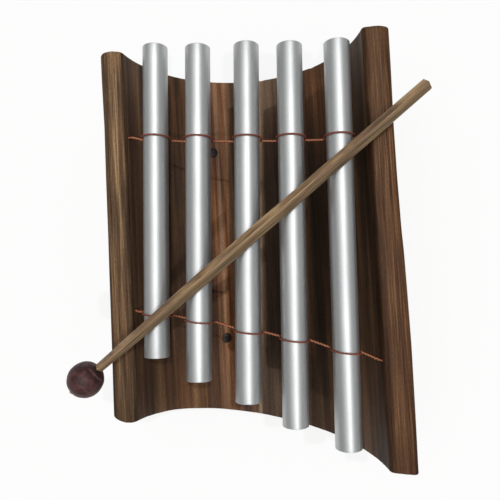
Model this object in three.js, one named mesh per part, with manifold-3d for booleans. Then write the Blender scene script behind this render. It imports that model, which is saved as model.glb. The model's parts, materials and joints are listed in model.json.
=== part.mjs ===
// Five sounding tubes hung on twined cords over a split bamboo trough, with a mallet laid across them.
// Millimetres. +X runs across the tubes to the right, +Y along them to the rear, and +Z is up.

import * as THREE from "three";
import { mergeVertices } from "three/addons/utils/BufferGeometryUtils.js";
import Module from "manifold-3d";

const wasm = await Module();
wasm.setup();

// Clearances
const seatGap = 0.3; // between pieces that touch
const holeClearance = 0.45; // round a cord in its hole
const cutOver = 5; // holes are cut this far past the surfaces

// Trough: one length of thick bamboo, split a little below its middle
const culmRadius = 92.5; // outside of the bamboo
const culmWall = 15.5;
const rimDrop = 12; // the rims lie this far below the bamboo's axis
const rimRounding = 3.2;
const troughRear = 126.9; // rear end, on the centre line at the rims' height
const troughFront = -126.4; // front end, on the centre line
const rearCutAngle = -1; // degrees, seen from above
const frontCutAngle = -11.2;
const rearCutLean = 1.6; // degrees from upright: the rims reach farther back than the floor

// Feet: two wooden cradles under the trough
const footWidth = 110;
const footDepth = 18;
const footHeight = 20;
const footFloor = 7.5; // wood left under the bamboo
const footChamfer = 1.5;
const frontFootInset = 58.7; // from the trough's front end, on the centre line, to the foot's middle
const rearFootInset = 56.2;

// Foot screws: countersunk from inside the trough, square to the bamboo
const screwHeadDiameter = 6.6;
const screwHeadHeight = 2;
const screwDomeHeight = 0.5;
const screwShankDiameter = 3.5;
const screwLength = 26;
const frontLeftScrewInset = 25.4; // from the foot's end to the screw's head
const rearLeftScrewInset = 22.6;
const rightScrewInset = 29;
const feet = [
  { name: "front", y: troughFront + frontFootInset, leftInset: frontLeftScrewInset },
  { name: "rear", y: troughRear - rearFootInset, leftInset: rearLeftScrewInset },
];

// Sounding tubes, evenly stepped in length and place from the shortest, on the left, to the longest
const tubeDiameter = 16;
const tubeWall = 1.2;
const tubeDrop = 3; // their axes lie this far below the rims
const shortestTube = 198;
const longestTube = 245;
const shortestProud = 0.9; // its rear end lies this far behind the trough's
const longestProud = -9.7;
const shortestWallGap = 7; // from the tube's side to the wall beside it, at y = 0
const longestWallGap = 11.4;

// Each tube's turn seen from above in degrees, and how far the maker's hand put it aside and to the rear
const tubes = [
  { turn: -2.4, aside: 0, behind: 0 },
  { turn: -2.7, aside: -1.65, behind: -0.85 },
  { turn: -2.8, aside: 0.3, behind: -0.35 },
  { turn: -2.4, aside: -0.95, behind: -0.9 },
  { turn: -1.9, aside: 0, behind: 0 },
];

// Cords: two strands, one over and one under each tube, twisted together between the tubes
const strandDiameter = 1.05;
const strandPinch = 0.5; // how far the strands press into each other where they meet
const cordSag = 7.8; // the twisted stretches lie this far below the tube axes
const loopReach = 9.2; // from a tube's axis to where the strands meet
const loopTurn = 0.5; // 0 goes squarely round the tube, 1 along the row
const holeDrop = 4; // from the rim down to the hole in the inner wall
const holeSlant = 35; // degrees down towards the outside
const cordLift = 2; // how far inside the wall a cord's end turns down into its hole
const knotDiameter = 4.4;
const knotGap = 0.6; // along the cord, because the wall slopes under the knot
const rearCordLeft = 55.8; // from the trough's rear end, on the centre line, to the cord at the left wall
const rearCordRight = 68.2;
const rearRowBow = -1.3; // how far the middle of the row lies behind its ends
const frontCordLeft = 85.5;
const frontCordRight = 49.4;
const frontRowBow = 1.8;
const rows = [
  { name: "rear", yLeft: troughRear - rearCordLeft, yRight: troughRear - rearCordRight, bow: rearRowBow },
  { name: "front", yLeft: troughFront + frontCordLeft, yRight: troughFront + frontCordRight, bow: frontRowBow },
];

// Mallet: a whittled stick through a ball
const ballDiameter = 22.4;
const stickLength = 283;
const stickTip = 13.5; // from the ball's centre to the short end
const tipWidth = 5.2;
const tipHeight = 4.8;
const stickSwell = 100; // from the ball's centre to the thickest place
const swellWidth = 9;
const swellHeight = 7;
const endWidth = 7.6;
const endHeight = 6.2;
const stickEdge = 0.8; // flat on each long edge
const ridgeWidth = 0.8;
const malletBeforeFrontCord = 4.5; // where it crosses the shortest tube
const malletBeforeRearCord = 16.3; // where it crosses the longest tube
const ballReach = 53.6; // from the shortest tube's axis to the ball's centre, along the stick

// Fineness of the round shapes
const culmSteps = 44;
const roundingSteps = 4;
const tubeSteps = 16; // per half turn
const cordSides = 8;
const overSteps = 9; // points round the tube on the strand above it
const underSteps = 5;
const spanSteps = 5;
const cordEndSteps = 12;
const knotSides = 12;
const screwSides = 16;
const domeSteps = 3;
const ballSides = 24;

// Derived places
const radians = THREE.MathUtils.degToRad;
const culmInside = culmRadius - culmWall;
const culmZ = footFloor + seatGap + culmRadius;
const rimZ = culmZ - rimDrop;
const tubeRadius = tubeDiameter / 2;
const tubeZ = rimZ - tubeDrop;
const cordDiameter = 2 * strandDiameter - strandPinch;
const cordZ = tubeZ - cordSag;
const holeZ = rimZ - holeDrop;
const loopRadius = tubeRadius + seatGap + strandDiameter / 2;

// Finishes
const finish = (color, roughness, metalness = 0) =>
  new THREE.MeshStandardMaterial({ color, roughness, metalness });
const bamboo = finish(0x6b4e38, 0.45);
const wood = finish(0x5f4430, 0.6);
const aluminium = finish(0xb8babc, 0.32, 1);
const darkSteel = finish(0x2f2a28, 0.45, 1);
const waxedCord = finish(0x8a4632, 0.5);
const whittledBamboo = finish(0x8c6f50, 0.55);
const rubber = finish(0x4f302c, 0.6);

const instrument = new THREE.Group();

function addMesh(name, geometry, material, parent = instrument) {
  const mesh = new THREE.Mesh(geometry, material);
  mesh.name = name;
  parent.add(mesh);
  return mesh;
}

// A closed geometry as a solid that can be joined and cut
function solidOf(geometry) {
  const bare = geometry.clone();
  bare.deleteAttribute("normal");
  bare.deleteAttribute("uv");
  const merged = mergeVertices(bare);
  return new wasm.Manifold(
    new wasm.Mesh({
      numProp: 3,
      vertProperties: merged.attributes.position.array,
      triVerts: new Uint32Array(merged.index.array),
    }),
  );
}

function geometryOf(solid) {
  const mesh = solid.getMesh();
  const geometry = new THREE.BufferGeometry();
  geometry.setAttribute("position", new THREE.BufferAttribute(mesh.vertProperties, 3));
  geometry.setIndex(new THREE.BufferAttribute(mesh.triVerts, 1));
  geometry.computeVertexNormals();
  return geometry;
}

// Half the width of a circle round the bamboo's axis at height z
const halfWidth = (radius, z) => Math.sqrt(radius ** 2 - (z - culmZ) ** 2);

// Points of an arc round the bamboo's axis, from x = from to x = to through its lowest point
function underArc(radius, from, to, steps) {
  const start = Math.asin(from / radius);
  const end = Math.asin(to / radius);
  return Array.from({ length: steps + 1 }, (_, i) => {
    const angle = THREE.MathUtils.lerp(start, end, i / steps);
    return new THREE.Vector2(radius * Math.sin(angle), culmZ - radius * Math.cos(angle));
  });
}

// Points that round a corner between two places on its sides
const rounded = (before, corner, after) =>
  new THREE.QuadraticBezierCurve(before, corner, after).getPoints(roundingSteps);

const mirrored = (points) => points.map((point) => new THREE.Vector2(-point.x, point.y)).reverse();

// An outline in the X-Z plane carried along Y, from y = rear to y = front
function carriedAlongY(outline, rear, front) {
  const geometry = new THREE.ExtrudeGeometry(new THREE.Shape(outline), {
    depth: rear - front,
    steps: 1,
    bevelEnabled: false,
  });
  geometry.rotateX(Math.PI / 2);
  geometry.translate(0, rear, 0);
  return geometry;
}

// Screws: every foot screw's head centre and its direction away from the bamboo's axis
const screws = feet.flatMap((foot) =>
  [
    { side: "left", x: -footWidth / 2 + foot.leftInset },
    { side: "right", x: footWidth / 2 - rightScrewInset },
  ].map(({ side, x }) => {
    const angle = Math.asin(x / culmInside);
    const away = new THREE.Vector3(Math.sin(angle), 0, -Math.cos(angle));
    const head = new THREE.Vector3(0, foot.y, culmZ).addScaledVector(away, culmInside);
    return { name: `foot_screw_${foot.name}_${side}`, head, away };
  }),
);

// A screw's outline from its tip up to the edge of its head, larger all over when it makes a hole
function screwOutline(grow) {
  const shank = screwShankDiameter / 2 + grow;
  return [
    new THREE.Vector2(0, -screwLength - grow),
    new THREE.Vector2(shank, -screwLength - grow + screwShankDiameter),
    new THREE.Vector2(shank, -screwHeadHeight),
    new THREE.Vector2(screwHeadDiameter / 2 + grow, 0),
  ];
}

function screwGeometry() {
  const dome = new THREE.EllipseCurve(0, 0, screwHeadDiameter / 2, screwDomeHeight, 0, Math.PI / 2);
  const outline = [
    ...screwOutline(0),
    ...dome.getPoints(domeSteps).slice(1, -1),
    new THREE.Vector2(0, screwDomeHeight),
  ];
  return new THREE.LatheGeometry(outline, screwSides);
}

function screwHoleGeometry() {
  const outline = [
    ...screwOutline(seatGap),
    new THREE.Vector2(screwHeadDiameter / 2 + seatGap, cutOver),
    new THREE.Vector2(0, cutOver),
  ];
  return new THREE.LatheGeometry(outline, screwSides);
}

// Turns a shape that stands on +Y so that its top faces the bamboo's axis, and moves it to its place
function aimed(geometry, { head, away }) {
  const turn = new THREE.Quaternion().setFromUnitVectors(new THREE.Vector3(0, -1, 0), away);
  geometry.applyQuaternion(turn);
  geometry.translate(head.x, head.y, head.z);
  return geometry;
}

const screwHoles = screws.map((screw) => solidOf(aimed(screwHoleGeometry(), screw)));

// A round cord along a smooth path through the points
function cordAlong(points, diameter, steps) {
  const section = new THREE.Shape(
    Array.from({ length: cordSides }, (_, i) => {
      const angle = (2 * Math.PI * i) / cordSides;
      return new THREE.Vector2(Math.cos(angle), Math.sin(angle)).multiplyScalar(diameter / 2);
    }),
  );
  return new THREE.ExtrudeGeometry(section, {
    steps,
    extrudePath: new THREE.CatmullRomCurve3(points, false, "centripetal"),
    bevelEnabled: false,
  });
}

// Tubes: the length of each, the direction of its axis and its middle, seen from above
const tubeRoom = halfWidth(culmInside, tubeZ) - tubeRadius;
tubes.forEach((tube, i) => {
  const share = i / (tubes.length - 1);
  const x = THREE.MathUtils.lerp(shortestWallGap - tubeRoom, tubeRoom - longestWallGap, share);
  const rear = troughRear + THREE.MathUtils.lerp(shortestProud, longestProud, share);
  const turn = radians(tube.turn);
  tube.length = THREE.MathUtils.lerp(shortestTube, longestTube, share);
  tube.axis = new THREE.Vector2(-Math.sin(turn), Math.cos(turn));
  tube.middle = new THREE.Vector2(x + tube.aside, 0).addScaledVector(
    tube.axis,
    (rear + tube.behind) / tube.axis.y - tube.length / 2,
  );
});

// Where two lines cross, seen from above, as a distance along the first from its start
function crossing(start, direction, otherStart, otherDirection) {
  const gap = otherStart.clone().sub(start);
  return gap.cross(otherDirection) / direction.cross(otherDirection);
}

// Cord holes: they leave the inner wall at holeX and slant down through the wall
const slant = radians(holeSlant);
const holeX = halfWidth(culmInside, holeZ);
const holeLead = holeX * Math.cos(slant) - (holeZ - culmZ) * Math.sin(slant);
const holeLength = Math.sqrt(holeLead ** 2 + culmRadius ** 2 - culmInside ** 2) - holeLead;

// Cord rows: the line of each, from wall to wall, and its loops. A row bows evenly from that line, and
// each loop lies between square to its tube and in line with the row.
for (const row of rows) {
  row.start = new THREE.Vector2(-holeX, row.yLeft);
  row.direction = new THREE.Vector2(2 * holeX, row.yRight - row.yLeft);
  row.length = row.direction.length();
  row.direction.normalize();
  row.loops = tubes.map(({ middle, axis }) => {
    const along = crossing(row.start, row.direction, middle, axis);
    const share = along / row.length;
    const place = row.start
      .clone()
      .addScaledVector(row.direction, along)
      .addScaledVector(axis, 4 * row.bow * share * (1 - share));
    const across = new THREE.Vector2(axis.y, -axis.x).lerp(row.direction, loopTurn).normalize();
    return { place, across };
  });
}

// A place beside a loop's tube: a distance across from its axis and a height
const besideTube = ({ place, across }, out, z) =>
  new THREE.Vector3(place.x + out * across.x, place.y + out * across.y, z);

// A place along a row's hole: distance out from the inner wall, at the left end or the right end
function inHole(row, side, out) {
  const along = (side < 0 ? 0 : row.length) + side * out * Math.cos(slant);
  const place = row.start.clone().addScaledVector(row.direction, along);
  return new THREE.Vector3(place.x, place.y, holeZ - out * Math.sin(slant));
}

function cordHole(row, side) {
  const path = [inHole(row, side, -cutOver), inHole(row, side, holeLength + cutOver)];
  return solidOf(cordAlong(path, cordDiameter + 2 * holeClearance, 1));
}

// The right rim in the X-Z plane, from its outside over its top to its inside
function rimOutline() {
  const low = rimZ - rimRounding;
  const outer = halfWidth(culmRadius, rimZ);
  const inner = halfWidth(culmInside, rimZ);
  return [
    ...rounded(
      new THREE.Vector2(halfWidth(culmRadius, low), low),
      new THREE.Vector2(outer, rimZ),
      new THREE.Vector2(outer - rimRounding, rimZ),
    ),
    ...rounded(
      new THREE.Vector2(inner + rimRounding, rimZ),
      new THREE.Vector2(inner, rimZ),
      new THREE.Vector2(halfWidth(culmInside, low), low),
    ),
  ];
}

function trough() {
  const rim = rimOutline();
  const outer = rim[0].x;
  const inner = rim.at(-1).x;
  const outline = [
    ...rim,
    ...underArc(culmInside, inner, -inner, culmSteps).slice(1, -1),
    ...mirrored(rim),
    ...underArc(culmRadius, -outer, outer, culmSteps).slice(1, -1),
  ];
  const geometry = carriedAlongY(outline, 1, 0);
  const position = geometry.attributes.position;
  for (let i = 0; i < position.count; i++) {
    const x = position.getX(i);
    const lean = (position.getZ(i) - rimZ) * Math.tan(radians(rearCutLean));
    const rear = troughRear + x * Math.tan(radians(rearCutAngle)) + lean;
    const front = troughFront + x * Math.tan(radians(frontCutAngle));
    position.setY(i, THREE.MathUtils.lerp(front, rear, position.getY(i)));
  }
  let solid = solidOf(geometry);
  for (const hole of screwHoles) solid = solid.subtract(hole);
  for (const row of rows) solid = solid.subtract(cordHole(row, -1)).subtract(cordHole(row, 1));
  return geometryOf(solid);
}

function foot(y) {
  const half = footWidth / 2;
  const seatRadius = culmRadius + seatGap;
  const seatHalf = halfWidth(seatRadius, footHeight);
  const side = [
    new THREE.Vector2(seatHalf, footHeight),
    new THREE.Vector2(half - footChamfer, footHeight),
    new THREE.Vector2(half, footHeight - footChamfer),
    new THREE.Vector2(half, footChamfer),
    new THREE.Vector2(half - footChamfer, 0),
  ];
  const seat = underArc(seatRadius, -seatHalf, seatHalf, culmSteps / 2).slice(1, -1);
  const outline = [...side, ...mirrored(side), ...seat];
  let solid = solidOf(carriedAlongY(outline, y + footDepth / 2, y - footDepth / 2));
  for (const hole of screwHoles) solid = solid.subtract(hole);
  return geometryOf(solid);
}

function tubeGeometry(length) {
  const section = new THREE.Shape().absarc(0, 0, tubeRadius, 0, 2 * Math.PI);
  section.holes.push(new THREE.Path().absarc(0, 0, tubeRadius - tubeWall, 0, 2 * Math.PI, true));
  const geometry = new THREE.ExtrudeGeometry(section, {
    depth: length,
    steps: 1,
    bevelEnabled: false,
    curveSegments: tubeSteps,
  });
  geometry.rotateX(Math.PI / 2);
  geometry.translate(0, length / 2, 0);
  return geometry;
}

// One strand from where it leaves its partner, over (side = 1) or under (side = -1) a tube, and back
function strand(loop, side, steps) {
  const meet = Math.atan2(-cordSag, loopReach);
  const leave = Math.acos(loopRadius / Math.hypot(loopReach, cordSag));
  const end = meet + side * leave;
  const z = cordZ + (side * (strandDiameter - strandPinch)) / 2;
  const parting = loopReach - strandDiameter / 2;
  const turning = loopReach - strandDiameter;
  const turned = z + (side > 0 ? strandDiameter / 2 : 0);
  const roundTube = Array.from({ length: steps + 1 }, (_, i) => {
    const angle = THREE.MathUtils.lerp(end, side * Math.PI - end, i / steps);
    return besideTube(loop, loopRadius * Math.cos(angle), tubeZ + loopRadius * Math.sin(angle));
  });
  const points = [
    besideTube(loop, loopReach, z),
    besideTube(loop, parting, z),
    besideTube(loop, turning, turned),
    ...roundTube,
    besideTube(loop, -turning, turned),
    besideTube(loop, -parting, z),
    besideTube(loop, -loopReach, z),
  ];
  return solidOf(cordAlong(points, strandDiameter, 2 * steps + 4));
}

const loopGeometry = (loop) => geometryOf(strand(loop, 1, overSteps).add(strand(loop, -1, underSteps)));

// The twisted stretch between two neighbouring loops, as one plain cord that leaves each loop straight
function spanGeometry(left, right) {
  const from = loopReach + seatGap;
  const points = [
    besideTube(left, from, cordZ),
    besideTube(left, from + strandDiameter, cordZ),
    besideTube(right, -from - strandDiameter, cordZ),
    besideTube(right, -from, cordZ),
  ];
  return cordAlong(points, cordDiameter, spanSteps);
}

// From the last loop through the wall to the knot outside
function endGeometry(row, side) {
  const last = row.loops.at(side < 0 ? 0 : -1);
  const loopEnd = loopReach + seatGap;
  const knotPlace = inHole(row, side, holeLength + knotDiameter / 2 + knotGap);
  const points = [
    besideTube(last, side * loopEnd, cordZ),
    besideTube(last, side * (loopEnd + strandDiameter / 2), cordZ),
    inHole(row, side, -cordLift),
    inHole(row, side, 0),
    inHole(row, side, cordDiameter),
    inHole(row, side, holeLength / 2),
    knotPlace,
  ];
  const knot = new THREE.SphereGeometry(knotDiameter / 2, knotSides, (knotSides * 2) / 3);
  knot.translate(knotPlace.x, knotPlace.y, knotPlace.z);
  return geometryOf(solidOf(cordAlong(points, cordDiameter, cordEndSteps)).add(solidOf(knot)));
}

// The stick lies along +X with its underside flat on z = 0 and the ball's centre over x = 0.
// Its width and height change evenly from the tip to the swell, and from there to the end.
const stickSizes = [
  { at: -stickTip, width: tipWidth, height: tipHeight },
  { at: stickSwell, width: swellWidth, height: swellHeight },
  { at: stickLength - stickTip, width: endWidth, height: endHeight },
];

function stickSize(at) {
  const place = THREE.MathUtils.clamp(at, stickSizes[0].at, stickSizes.at(-1).at);
  const next = Math.max(1, stickSizes.findIndex((size) => size.at >= place));
  const before = stickSizes[next - 1];
  const after = stickSizes[next];
  const between = (key) => THREE.MathUtils.mapLinear(place, before.at, after.at, before[key], after[key]);
  return { width: between("width"), height: between("height") };
}

// The stick from one place to another, larger all over when it makes the ball's bore
function stickGeometry(from, to, grow) {
  const within = stickSizes.map((size) => size.at).filter((at) => at > from && at < to);
  const sections = [from, ...within, to].map((at) => {
    const size = stickSize(at);
    const half = size.width / 2 + grow;
    const ridge = size.height + grow;
    return [
      [-(half - stickEdge), -grow],
      [half - stickEdge, -grow],
      [half, stickEdge - grow],
      [half, ridge / 2],
      [ridgeWidth / 2, ridge],
      [-ridgeWidth / 2, ridge],
      [-half, ridge / 2],
      [-half, stickEdge - grow],
    ].map(([y, z]) => new THREE.Vector3(at, y, z));
  });
  return lofted(sections);
}

// A closed skin over matching rings of points, with a flat end on each
function lofted(sections) {
  const size = sections[0].length;
  const faces = [];
  for (let ring = 0; ring + 1 < sections.length; ring++) {
    for (let i = 0; i < size; i++) {
      const a = ring * size + i;
      const b = ring * size + ((i + 1) % size);
      faces.push(a, b, a + size, b, b + size, a + size);
    }
  }
  const last = (sections.length - 1) * size;
  for (let i = 1; i + 1 < size; i++) {
    faces.push(0, i + 1, i);
    faces.push(last, last + i, last + i + 1);
  }
  const geometry = new THREE.BufferGeometry().setFromPoints(sections.flat());
  geometry.setIndex(faces);
  return geometry;
}

function ballGeometry() {
  const ball = new THREE.SphereGeometry(ballDiameter / 2, ballSides, (ballSides * 2) / 3);
  ball.translate(0, 0, stickSize(0).height / 2);
  const bore = solidOf(stickGeometry(-ballDiameter, ballDiameter, seatGap));
  return geometryOf(solidOf(ball).subtract(bore));
}

addMesh("bamboo_trough", trough(), bamboo);
for (const { name, y } of feet) addMesh(`foot_${name}`, foot(y), wood);
for (const screw of screws) addMesh(screw.name, aimed(screwGeometry(), screw), darkSteel);

tubes.forEach((tube, i) => {
  const mesh = addMesh(`tube_${i + 1}`, tubeGeometry(tube.length), aluminium);
  mesh.position.set(tube.middle.x, tube.middle.y, tubeZ);
  mesh.rotation.z = radians(tube.turn);
});

for (const row of rows) {
  row.loops.forEach((loop, i) => {
    addMesh(`cord_${row.name}_loop_${i + 1}`, loopGeometry(loop), waxedCord);
    const next = row.loops[i + 1];
    if (next) addMesh(`cord_${row.name}_span_${i + 1}${i + 2}`, spanGeometry(loop, next), waxedCord);
  });
  addMesh(`cord_${row.name}_end_left`, endGeometry(row, -1), waxedCord);
  addMesh(`cord_${row.name}_end_right`, endGeometry(row, 1), waxedCord);
}

// A place on a tube's axis, seen from above, so far in front of where a cord row crosses it
const beforeCord = (row, index, distance) =>
  row.loops[index].place.clone().addScaledVector(tubes[index].axis, -distance);

// The mallet lies on the front loop of the shortest tube and on the longest tube
const mallet = new THREE.Group();
const firstRest = beforeCord(rows[1], 0, malletBeforeFrontCord);
const lastRest = beforeCord(rows[0], tubes.length - 1, malletBeforeRearCord);
const malletAim = lastRest.clone().sub(firstRest);
const firstTop = tubeZ + loopRadius + strandDiameter / 2 + seatGap;
const lastTop = tubeZ + tubeRadius + seatGap;
const tilt = Math.atan2(firstTop - lastTop, malletAim.length());
const malletStart = firstRest.clone().addScaledVector(malletAim.clone().normalize(), -ballReach);
mallet.position.set(malletStart.x, malletStart.y, firstTop + ballReach * Math.tan(tilt));
mallet.rotation.set(0, tilt, malletAim.angle(), "ZYX");
instrument.add(mallet);
addMesh("mallet_stick", stickGeometry(-stickTip, stickLength - stickTip, 0), whittledBamboo, mallet);
addMesh("mallet_ball", ballGeometry(), rubber, mallet);

// The origin is the middle of the whole instrument's box, on the surface that it stands on
const box = new THREE.Box3().setFromObject(instrument, true);
const middle = box.getCenter(new THREE.Vector3());
instrument.position.set(-middle.x, -middle.y, -box.min.z);

export default instrument;
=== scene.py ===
import json

import bmesh
import bpy
import numpy as np
from mathutils import Euler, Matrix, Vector


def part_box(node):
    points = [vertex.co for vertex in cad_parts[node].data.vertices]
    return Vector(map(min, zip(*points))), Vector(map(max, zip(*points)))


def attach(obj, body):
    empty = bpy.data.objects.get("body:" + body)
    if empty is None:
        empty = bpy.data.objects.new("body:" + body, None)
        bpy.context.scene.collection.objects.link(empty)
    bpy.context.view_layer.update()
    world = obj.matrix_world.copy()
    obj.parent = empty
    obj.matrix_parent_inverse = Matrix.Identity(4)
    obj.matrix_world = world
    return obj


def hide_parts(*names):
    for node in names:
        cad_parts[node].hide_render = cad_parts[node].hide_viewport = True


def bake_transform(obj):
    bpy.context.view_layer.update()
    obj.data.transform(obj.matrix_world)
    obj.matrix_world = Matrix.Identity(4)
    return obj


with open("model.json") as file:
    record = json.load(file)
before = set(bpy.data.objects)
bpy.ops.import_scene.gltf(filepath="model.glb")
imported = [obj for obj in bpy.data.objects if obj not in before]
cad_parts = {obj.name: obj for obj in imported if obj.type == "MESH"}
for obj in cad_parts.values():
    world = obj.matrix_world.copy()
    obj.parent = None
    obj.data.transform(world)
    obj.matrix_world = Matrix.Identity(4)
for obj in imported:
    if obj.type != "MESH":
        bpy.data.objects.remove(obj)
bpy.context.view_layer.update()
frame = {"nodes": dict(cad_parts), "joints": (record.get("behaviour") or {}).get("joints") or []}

mm = 0.001
tubeCount = 5
rowNames = ("rear", "front")


# Colours and nodes

# An sRGB hex colour as the linear one that shaders take
def hexColour(text):
    parts = np.array([int(text[i:i + 2], 16) for i in (1, 3, 5)]) / 255
    linear = np.where(parts <= 0.04045, parts / 12.92, ((parts + 0.055) / 1.055) ** 2.4)
    return (*linear, 1.0)


# Adds one node; its inputs are numbers, colours or sockets to link
def addNode(tree, kind, inputs=None, **settings):
    node = tree.nodes.new("ShaderNode" + kind)
    for name, value in settings.items():
        setattr(node, name, value)
    for key, value in (inputs or {}).items():
        if isinstance(value, bpy.types.NodeSocket):
            tree.links.new(value, node.inputs[key])
        else:
            node.inputs[key].default_value = value
    return node


# Colours at places from 0 to 1, for a ramp
def setStops(ramp, stops):
    elements = ramp.color_ramp.elements
    while len(elements) < len(stops):
        elements.new(0.5)
    for element, (place, colour) in zip(elements, stops):
        element.position = place
        element.color = hexColour(colour)
    return ramp.outputs["Color"]


def newMaterial(name):
    material = bpy.data.materials.new(name)
    material.use_nodes = True
    material.node_tree.nodes.clear()
    return material, material.node_tree


# Object coordinates, squeezed along one axis so that a noise pattern becomes streaks along it
def grainPlace(tree, squeeze=(1, 1, 1), place=(0, 0, 0)):
    coordinates = addNode(tree, "TexCoord").outputs["Object"]
    inputs = {"Vector": coordinates, "Location": place, "Scale": squeeze}
    return addNode(tree, "Mapping", inputs).outputs["Vector"]


# The end of a material: bumps from a pattern, with their strength and their height in mm, and the shader
def finishMaterial(material, pattern, strength, height, inputs):
    tree = material.node_tree
    bump = addNode(tree, "Bump", {"Height": pattern, "Strength": strength, "Distance": height * mm})
    shader = addNode(tree, "BsdfPrincipled", {"Normal": bump.outputs["Normal"], **inputs})
    addNode(tree, "OutputMaterial", {"Surface": shader.outputs["BSDF"]})
    return material


# Shapes

# Smooth random heights from -1 to 1: random numbers on a lattice, eased between its points by 3t^2 - 2t^3
def smoothNoise(seed, x, y, z):
    size = 32
    table = np.random.default_rng(seed).uniform(-1, 1, (size, size, size))
    places = np.stack(np.broadcast_arrays(x, y, z)).astype(float)
    base = np.floor(places).astype(int)
    part = places - base
    part = part * part * (3 - 2 * part)
    total = np.zeros(places.shape[1:])
    for corner in np.ndindex(2, 2, 2):
        weight = np.ones(places.shape[1:])
        for axis, step in enumerate(corner):
            weight = weight * (part[axis] if step else 1 - part[axis])
        total += weight * table[tuple((base[axis] + corner[axis]) % size for axis in range(3))]
    return total


def easeBetween(low, high, values):
    t = np.clip((values - low) / (high - low), 0, 1)
    return t * t * (3 - 2 * t)


# 1 in the middle, falling off to either side by e^(-d^2)
def bell(offset):
    return np.exp(-offset ** 2)


def unit(vectors):
    return vectors / np.linalg.norm(vectors, axis=-1, keepdims=True)


def anglesRound(count):
    return np.linspace(0, 2 * np.pi, count, endpoint=False)


# Unit vectors square to a closed line in a plane: outward where the line runs anticlockwise
def outwardOf(loop):
    ahead = np.roll(loop, -1, axis=0) - np.roll(loop, 1, axis=0)
    return unit(np.stack([ahead[:, 1], -ahead[:, 0]], axis=1))


# Rings round a path: each point plus radius (side cos a + up sin a)
def ringsRound(path, side, up, radius, count):
    angle = anglesRound(count)[:, None]
    return path[:, None] + radius * (side[..., None, :] * np.cos(angle) + up[..., None, :] * np.sin(angle))


# Faces are kept in blocks, arrays with the corners of one face in each row.
# Quads between the neighbours in a grid of points, closed round its columns where wrap is true
def gridFaces(rows, columns, wrap=False):
    index = np.arange(rows * columns).reshape(rows, columns)
    if wrap:
        index = np.hstack([index, index[:, :1]])
    corners = [index[:-1, :-1], index[:-1, 1:], index[1:, 1:], index[1:, :-1]]
    return [np.stack(corners, axis=-1).reshape(-1, 4)]


# A closed tube of rings: its wall and a face across each end
def tubeFaces(rows, columns):
    return gridFaces(rows, columns, True) + [np.arange(rows * columns).reshape(rows, columns)[[0, -1]]]


# Several shapes, each points and faces, as one
def joined(shapes):
    points, faces, first = [], [], 0
    for corners, blocks in shapes:
        points.append(corners)
        faces += [block + first for block in blocks]
        first += len(corners)
    return np.concatenate(points), faces


# Points of a line with sharp or smooth turns, spaced evenly along it
def evenly(points, count):
    steps = np.linalg.norm(np.diff(points, axis=0), axis=1)
    along = np.concatenate([[0], np.cumsum(steps)])
    places = np.linspace(0, along[-1], count)
    return np.stack([np.interp(places, along, points[:, axis]) for axis in range(points.shape[1])], axis=1)


# A quadratic curve round a corner: (1-t)^2 a + 2t(1-t) b + t^2 c
def roundCorner(a, b, c, count):
    t = np.linspace(0, 1, count)[:, None]
    return (1 - t) ** 2 * np.array(a) + 2 * t * (1 - t) * np.array(b) + t ** 2 * np.array(c)


def addObject(name, points, faces, sharpAngle=45):
    mesh = bpy.data.meshes.new(name)
    corners = [face for block in faces for face in block.tolist()]
    mesh.from_pydata(np.asarray(points, float).reshape(-1, 3).tolist(), [], corners)
    body = bmesh.new()
    body.from_mesh(mesh)
    bmesh.ops.remove_doubles(body, verts=body.verts, dist=1e-6)
    bmesh.ops.recalc_face_normals(body, faces=body.faces)
    body.to_mesh(mesh)
    body.free()
    mesh.shade_smooth()
    mesh.set_sharp_from_angle(angle=np.radians(sharpAngle))
    thing = bpy.data.objects.new(name, mesh)
    bpy.context.scene.collection.objects.link(thing)
    return thing


def pointsOf(thing):
    points = np.empty(len(thing.data.vertices) * 3)
    thing.data.vertices.foreach_get("co", points)
    return points.reshape(-1, 3)


def setAttribute(thing, name, values):
    attribute = thing.data.attributes.new(name, "FLOAT", "POINT")
    attribute.data.foreach_set("value", np.asarray(values, np.float32).ravel())


# Gives a piece its finish and hides the parts that it stands in for
def dress(thing, material, slotName, *replaced):
    thing.data.materials.clear()
    thing.data.materials.append(material)
    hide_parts(*replaced)


def middleOf(node):
    low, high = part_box(node)
    return np.array((low + high) / 2)


# Camera

camera = {
    "place": (0.0408, -0.0122, 0.3806),
    "turn": (2.2114, 7.5748, -3.2281),   # degrees about X, Y and Z
    "lens": 34.646,
    "sensor": 36,
}

lens = bpy.data.cameras.new("camera")
lens.sensor_width = camera["sensor"]
lens.lens = camera["lens"]
lens.clip_start = 0.01
viewer = bpy.data.objects.new("camera", lens)
viewer.location = camera["place"]
viewer.rotation_euler = Euler(np.radians(camera["turn"]))
bpy.context.scene.collection.objects.link(viewer)
bpy.context.scene.camera = viewer
print("camera placed")


# The frame that everything sits in: the bamboo's axis, its rims and the tubes

troughLow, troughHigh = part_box("bamboo_trough")
culm = {
    "rimDrop": 12 * mm,     # the rims lie this far below the bamboo's axis
    "wall": 15.5 * mm,
    "rearCut": -1,          # degrees, seen from above
    "frontCut": -11.2,
    "rearLean": 1.6,        # degrees from upright
}
rimZ = troughHigh.z
axisX = (troughLow.x + troughHigh.x) / 2
axisZ = rimZ + culm["rimDrop"]
outerRadius = axisZ - troughLow.z
innerRadius = outerRadius - culm["wall"]
halfTrough = (troughHigh.x - troughLow.x) / 2
rearY = troughHigh.y - halfTrough * np.tan(np.radians(-culm["rearCut"]))
frontY = troughLow.y + halfTrough * np.tan(np.radians(-culm["frontCut"]))


def halfWidth(radius, z):
    return np.sqrt(radius ** 2 - (z - axisZ) ** 2)


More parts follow.
